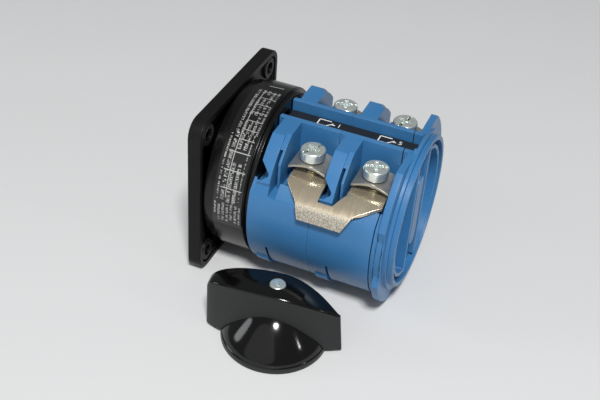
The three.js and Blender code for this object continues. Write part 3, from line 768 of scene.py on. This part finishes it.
def bar_mesh():
    """Rounded sections along x = half sin t, for t from the blunt end (t < 0) to the pointed one: half
    width w = tip + (width - tip) cos^plan t and top z = shoulder + (crown - shoulder) cos^crest t, the
    top a little higher in the middle of a section. The pointed end leans back towards its top."""
    t = np.linspace(-np.pi / 2, np.pi / 2, 65)
    c = np.clip(np.cos(t), 0, 1)
    tip, plan, crest = (np.where(t < 0, BLUNT[key], POINTED[key]) for key in ("tip", "plan", "crest"))
    x = BAR["half"] * np.sin(t)[:, None]
    w = (tip + (BAR["width"] - tip) * c ** plan)[:, None]
    top = (BAR["shoulder"] + (BAR["crown"] - BAR["shoulder"]) * c ** crest)[:, None]
    r = np.minimum(BAR["edge"], w * 0.9)
    bend = np.linspace(0, np.pi / 2, 7)[None]
    right_top = np.stack(np.broadcast_arrays(w - r + r * np.cos(bend), top - r + r * np.sin(bend)), -1)
    flat = np.linspace(1, -1, 9)[None, 1:-1]
    arched = top + 0.3 * (w / BAR["width"]) * (1 - flat ** 2)
    crown = np.stack(np.broadcast_arrays((w - r) * flat, arched), -1)
    left_top = right_top[:, ::-1] * (-1, 1)
    inset = np.minimum(0.3, w * 0.5)
    foot = np.stack(np.broadcast_arrays(np.concatenate([-w, -w + inset, w - inset, w], 1),
                                        BAR["low"] + np.array([[0.3, 0, 0, 0.3]])), -1)
    section = np.concatenate([right_top, crown, left_top, foot], 1)
    lean = np.clip(np.sin(t), 0, 1)[:, None] ** 4 * (0.7 - 0.11 * section[..., 1])
    loops = np.concatenate([(x + lean)[..., None], section], -1)
    return closed_skin("bar", loops + (*BAR["off"], 0))


def dome_profile():
    """Skirt band with rounded edges, then the dome: height as an even curve of the radius, of degree 8
    and fitted near DOME, so that it is level at the middle."""
    R, band = SKIRT["radius"], SKIRT["band"]
    foot = [(0, 0), (R - 0.35, 0), (R - 0.1, 0.1), (R, 0.35)]
    lip = [(R, band - 0.5), (R - 0.12, band - 0.15), (R - 0.45, band + 0.12)]
    radius, rise = np.array(DOME, float).T
    smooth = np.polynomial.Polynomial.fit(np.concatenate([radius, -radius]),
                                          np.concatenate([rise, rise]), 8)
    r = np.linspace(radius[0], 0, 24)
    return np.vstack([foot, lip, np.column_stack([r, smooth(r)])])


screw_low, screw_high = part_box("handle_screw")
HANDLE_AT = np.array([*((screw_low + screw_high) / 2)[:2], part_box("handle")[0].z])
HANDLE_TURN = 7.6


def to_handle(mesh):
    """From handle millimetres to the frame."""
    mesh.transform(Matrix.Translation(HANDLE_AT) @ Matrix.Rotation(math.radians(HANDLE_TURN), 4, "Z")
                   @ Matrix.Scale(0.001, 4))
    return mesh


body_mesh = carve(lathe("dome", dome_profile(), 128), [bar_mesh()], "UNION")
hollow = lathe("hollow", HOLLOW, 96)
socket = bar("socket", (SOCKET_HALF, SOCKET_HALF), (SOCKET_HALF, SOCKET_HALF), -1, SOCKET_DEEP)
body_mesh = carve(body_mesh, [hollow, socket, disc("bore", 0, 0, BORE, 10, 30),
                              disc("sink", 0, 0, SINK, 21, 30)])

# %% [markdown]
# The bar's sides and the skirt's band are left matt from the mould, while the bar's top and the dome
# are polished. The finish tells them apart by the way the surface faces: the matt ones face sideways.
# The sideways faces are also painted a paler grey: partly the matt skin's own greyness, partly a painted
# sheen for the grey light they reflect.

# %% Handle finish
gloss_black = Finish("handle_black", (0.005, 0.005, 0.005), 0.12, Coat_Weight=0.15, Coat_Roughness=0.05,
                     Specular_IOR_Level=0.4)
facing = gloss_black.add("ShaderNodeSeparateXYZ", None,
                         {0: gloss_black.add("ShaderNodeTexCoord", out="Normal")}, 2)
matt_side_and_sheen = between(facing, -0.3, 0.3)
grain = gloss_black.noise(5200, 2)
# Painted sheen: sideways faces get a paler grey than the top and dome, partly for their matt skin, partly
# for the light they reflect.
gloss_black.set("Base Color", gloss_black.blend(
    matt_side_and_sheen, gloss_black.blend(gloss_black.noise(60, 3), (0.0015, 0.0015, 0.0015), (0.003, 0.003, 0.003)),
    gloss_black.blend(grain, (0.005, 0.0056, 0.0058), (0.010, 0.0108, 0.0112))))
gloss_black.set("Roughness", 0.10 + 0.05 * gloss_black.noise(300, 4) + 0.42 * matt_side_and_sheen)
gloss_black.emboss(gloss_black.noise(140, 2) * 0.4 + grain * matt_side_and_sheen * 0.5, 0.00002)
piece("handle_moulded", to_handle(body_mesh), gloss_black, "handle", crease=32)
print("handle triangles:", sum(len(p.vertices) - 2 for p in body_mesh.polygons))

# %% Handle screw: its shank, the underside of its head, the head's rounded edge and its top
SMALL = {"foot": 6, "shank": 1.6, "under": 21.3, "head": 2.85, "edge": 0.65, "top": 23.95}
CROSS_FROM, CROSS_TO, CROSS_TURN = 22.3, 24.4, 30
bend = np.linspace(0, np.pi / 2, 6)
screw_profile = np.vstack([[(0, SMALL["foot"]), (SMALL["shank"] - 0.1, SMALL["foot"]),
                            (SMALL["shank"], SMALL["foot"] + 0.6), (SMALL["shank"], SMALL["under"]),
                            (SMALL["head"], SMALL["under"])],
                           np.column_stack([SMALL["head"] - SMALL["edge"] * (1 - np.cos(bend)),
                                            23.2 + 0.7 * np.sin(bend)]),
                           [(0, SMALL["top"])]])
small_screw = carve(lathe("small_screw", screw_profile, 48),
                    [bar("cross_a", (1.0, 0.25), (1.7, 0.45), CROSS_FROM, CROSS_TO),
                     bar("cross_b", (0.25, 1.0), (0.45, 1.7), CROSS_FROM, CROSS_TO)])
small_screw.transform(Matrix.Rotation(math.radians(CROSS_TURN), 4, "Z"))
piece("handle_screw_turned", to_handle(small_screw), zinc, "handle_screw", crease=30)

# %% [markdown]
# ## Tie screws
# Two long screws hold the stack together. Their heads sit in the plate, hidden behind the dial.

# %% Tie screws
for side in ("near", "far"):
    softened_copy(f"tie_screw_{side}", zinc, 0.1)
